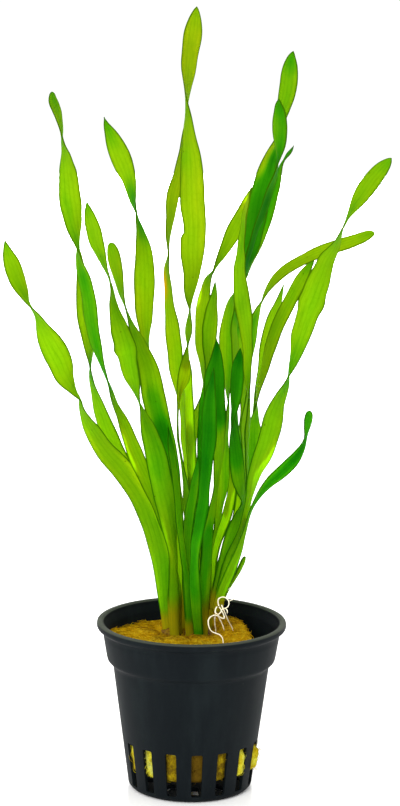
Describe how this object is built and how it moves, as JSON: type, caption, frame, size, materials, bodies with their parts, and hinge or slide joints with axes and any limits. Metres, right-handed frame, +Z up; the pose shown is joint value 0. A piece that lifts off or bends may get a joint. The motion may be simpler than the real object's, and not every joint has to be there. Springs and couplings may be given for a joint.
{
  "type": "potted aquarium plant",
  "caption": "Aquarium plant with long twisted ribbon leaves, rooted in rock wool in a small tapered net pot with a rolled rim and slotted foot.",
  "frame": {"origin": "centre of the pot's underside", "axes": "+Z up along the pot's axis, -Y towards the side the plant is looked at from"},
  "size_m": [0.1082, 0.0635, 0.2253],
  "materials": {
    "pot_plastic": "satin",
    "wool_fibre": "matte",
    "crown_flesh": "satin",
    "leaf_blade": "satin",
    "root_flesh": "satin"
  },
  "bodies": {
    "root": {"net_pot": "pot_plastic", "rock_wool": "wool_fibre", "crown_left": "crown_flesh", "crown_centre": "crown_flesh", "crown_raised": "crown_flesh", "leaf_tallest": "leaf_blade", "leaf_tall_left": "leaf_blade", "leaf_far_left": "leaf_blade", "leaf_left_high": "leaf_blade", "leaf_left_mid": "leaf_blade", "leaf_left_broad": "leaf_blade", "leaf_left_inner": "leaf_blade", "leaf_left_short": "leaf_blade", "leaf_centre_strip": "leaf_blade", "leaf_right_high": "leaf_blade", "leaf_right_upper": "leaf_blade", "leaf_right_spike": "leaf_blade", "leaf_far_right": "leaf_blade", "leaf_right_leaning": "leaf_blade", "leaf_centre_right": "leaf_blade", "leaf_right_slanting": "leaf_blade", "leaf_right_band": "leaf_blade", "leaf_right_band_inner": "leaf_blade", "leaf_centre_mid": "leaf_blade", "leaf_centre_dark": "leaf_blade", "leaf_centre_dark_inner": "leaf_blade", "leaf_right_dark": "leaf_blade", "leaf_right_low": "leaf_blade", "leaf_right_stub": "leaf_blade", "leaf_bright_base": "leaf_blade", "leaf_inner_left": "leaf_blade", "leaf_inner_right": "leaf_blade", "leaf_front_stub": "leaf_blade", "root_loop": "root_flesh", "root_right": "root_flesh", "root_middle": "root_flesh", "root_left": "root_flesh", "root_ring_upper": "root_flesh", "root_ring_lower": "root_flesh"}
  },
  "joints": []
}
